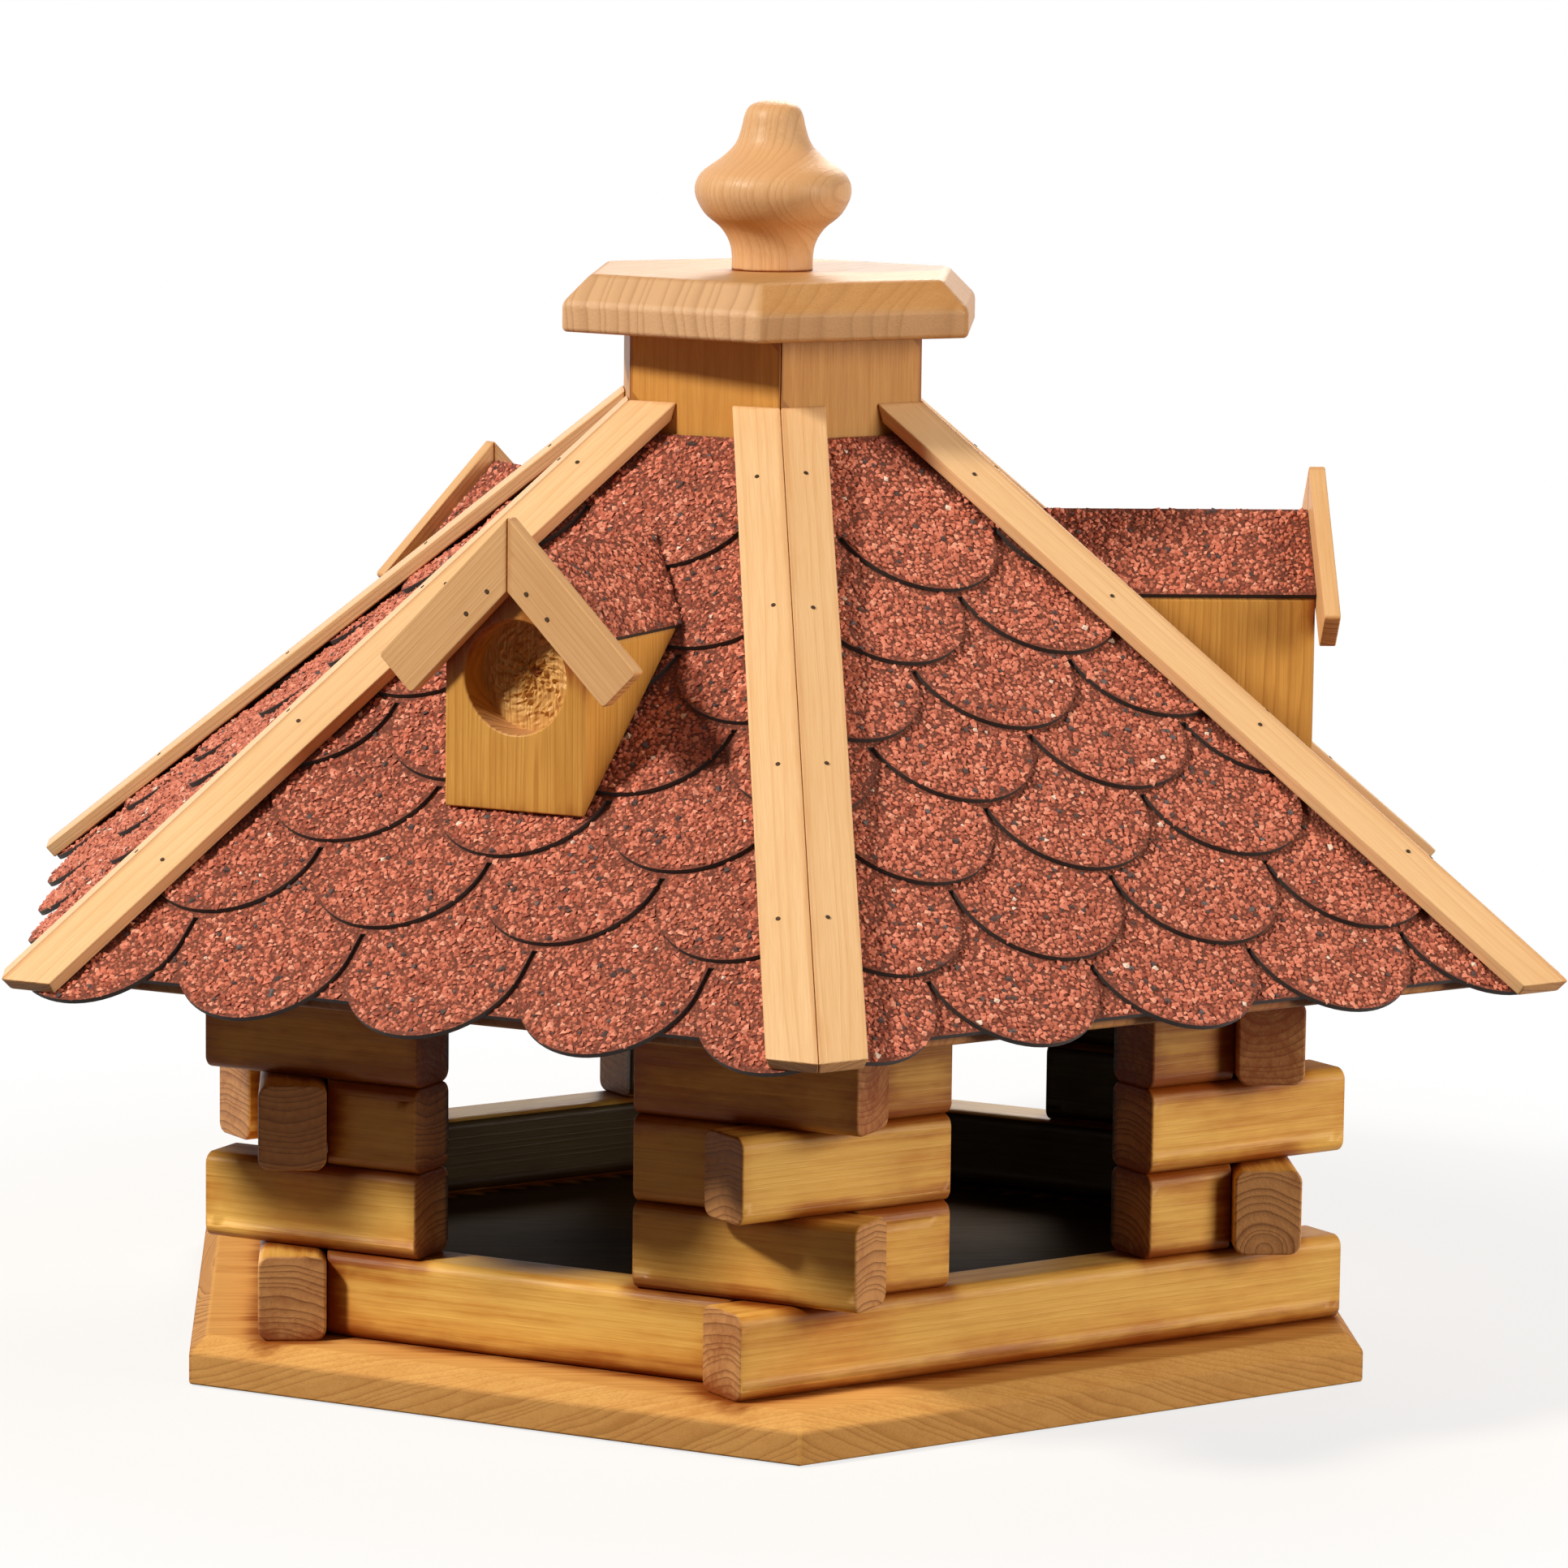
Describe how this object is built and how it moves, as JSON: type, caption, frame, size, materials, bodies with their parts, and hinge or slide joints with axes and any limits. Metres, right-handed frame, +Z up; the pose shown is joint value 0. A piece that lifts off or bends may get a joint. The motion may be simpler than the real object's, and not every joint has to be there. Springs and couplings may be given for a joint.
{
  "type": "bird house",
  "caption": "Six-sided wooden bird feeder house with stacked log corners, a scalloped shingle roof, dormers and a lift-off chimney lid with a turned finial.",
  "frame": {"origin": "on the ground plane, under the middle of the six-sided base board", "axes": "+Z up; one corner of the hexagon and its hip strip point to -Y, the front of the picture; +X to the right along the outward normal of the right-hand wall"},
  "size_m": [0.4986, 0.5756, 0.4113],
  "materials": {
    "base_pine": "clear-stained pine",
    "log_pine": "honey-glazed pine, darker in the joints and on the end grain",
    "board_pine": "stained softwood board",
    "strip_pine": "pale planed pine",
    "chimney_pine": "stained pine",
    "lid_pine": "stained pine",
    "finial_wood": "turned softwood, satin",
    "dormer_pine": "glazed pine",
    "trim_pine": "stained pine",
    "red_roofing": "bitumen sheet with red mineral granules",
    "silo_clear": "clear tube"
  },
  "bodies": {
    "house": {"base_plate": "base_pine", "sill_log_front_right": "log_pine", "sill_log_right": "log_pine", "sill_log_back_right": "log_pine", "sill_log_back_left": "log_pine", "sill_log_left": "log_pine", "sill_log_front_left": "log_pine", "corner_logs_front_2": "log_pine", "corner_logs_front_3": "log_pine", "corner_logs_front_4": "log_pine", "corner_logs_right_front_2": "log_pine", "corner_logs_right_front_3": "log_pine", "corner_logs_right_front_4": "log_pine", "corner_logs_right_back_2": "log_pine", "corner_logs_right_back_3": "log_pine", "corner_logs_right_back_4": "log_pine", "corner_logs_back_2": "log_pine", "corner_logs_back_3": "log_pine", "corner_logs_back_4": "log_pine", "corner_logs_left_back_2": "log_pine", "corner_logs_left_back_3": "log_pine", "corner_logs_left_back_4": "log_pine", "corner_logs_left_front_2": "log_pine", "corner_logs_left_front_3": "log_pine", "corner_logs_left_front_4": "log_pine", "ceiling_board": "board_pine", "eave_board": "board_pine", "roof_panel_front_right": "board_pine", "roof_panel_right": "board_pine", "roof_panel_back_right": "board_pine", "roof_panel_back_left": "board_pine", "roof_panel_left": "board_pine", "roof_panel_front_left": "board_pine", "shingles_front_right": "red_roofing", "shingles_right": "red_roofing", "shingles_back_right": "red_roofing", "shingles_back_left": "red_roofing", "shingles_left": "red_roofing", "shingles_front_left": "red_roofing", "hip_strips_front": "strip_pine", "hip_strips_right_front": "strip_pine", "hip_strips_right_back": "strip_pine", "hip_strips_back": "strip_pine", "hip_strips_left_back": "strip_pine", "hip_strips_left_front": "strip_pine", "chimney_boards": "chimney_pine", "silo_tube": "silo_clear", "dormer_body_right": "dormer_pine", "dormer_body_back_left": "dormer_pine", "dormer_body_front_left": "dormer_pine", "dormer_trim_right": "trim_pine", "dormer_trim_back_left": "trim_pine", "dormer_trim_front_left": "trim_pine", "dormer_roofing_right": "red_roofing", "dormer_roofing_back_left": "red_roofing", "dormer_roofing_front_left": "red_roofing"},
    "lid": {"lid_plate": "lid_pine", "lid_plug": "lid_pine", "finial": "finial_wood"}
  },
  "joints": [
    {"name": "lid_lift", "type": "slide", "parent": "house", "child": "lid", "axis": [0, 0, 1], "range_m": [0, 0.08]}
  ]
}
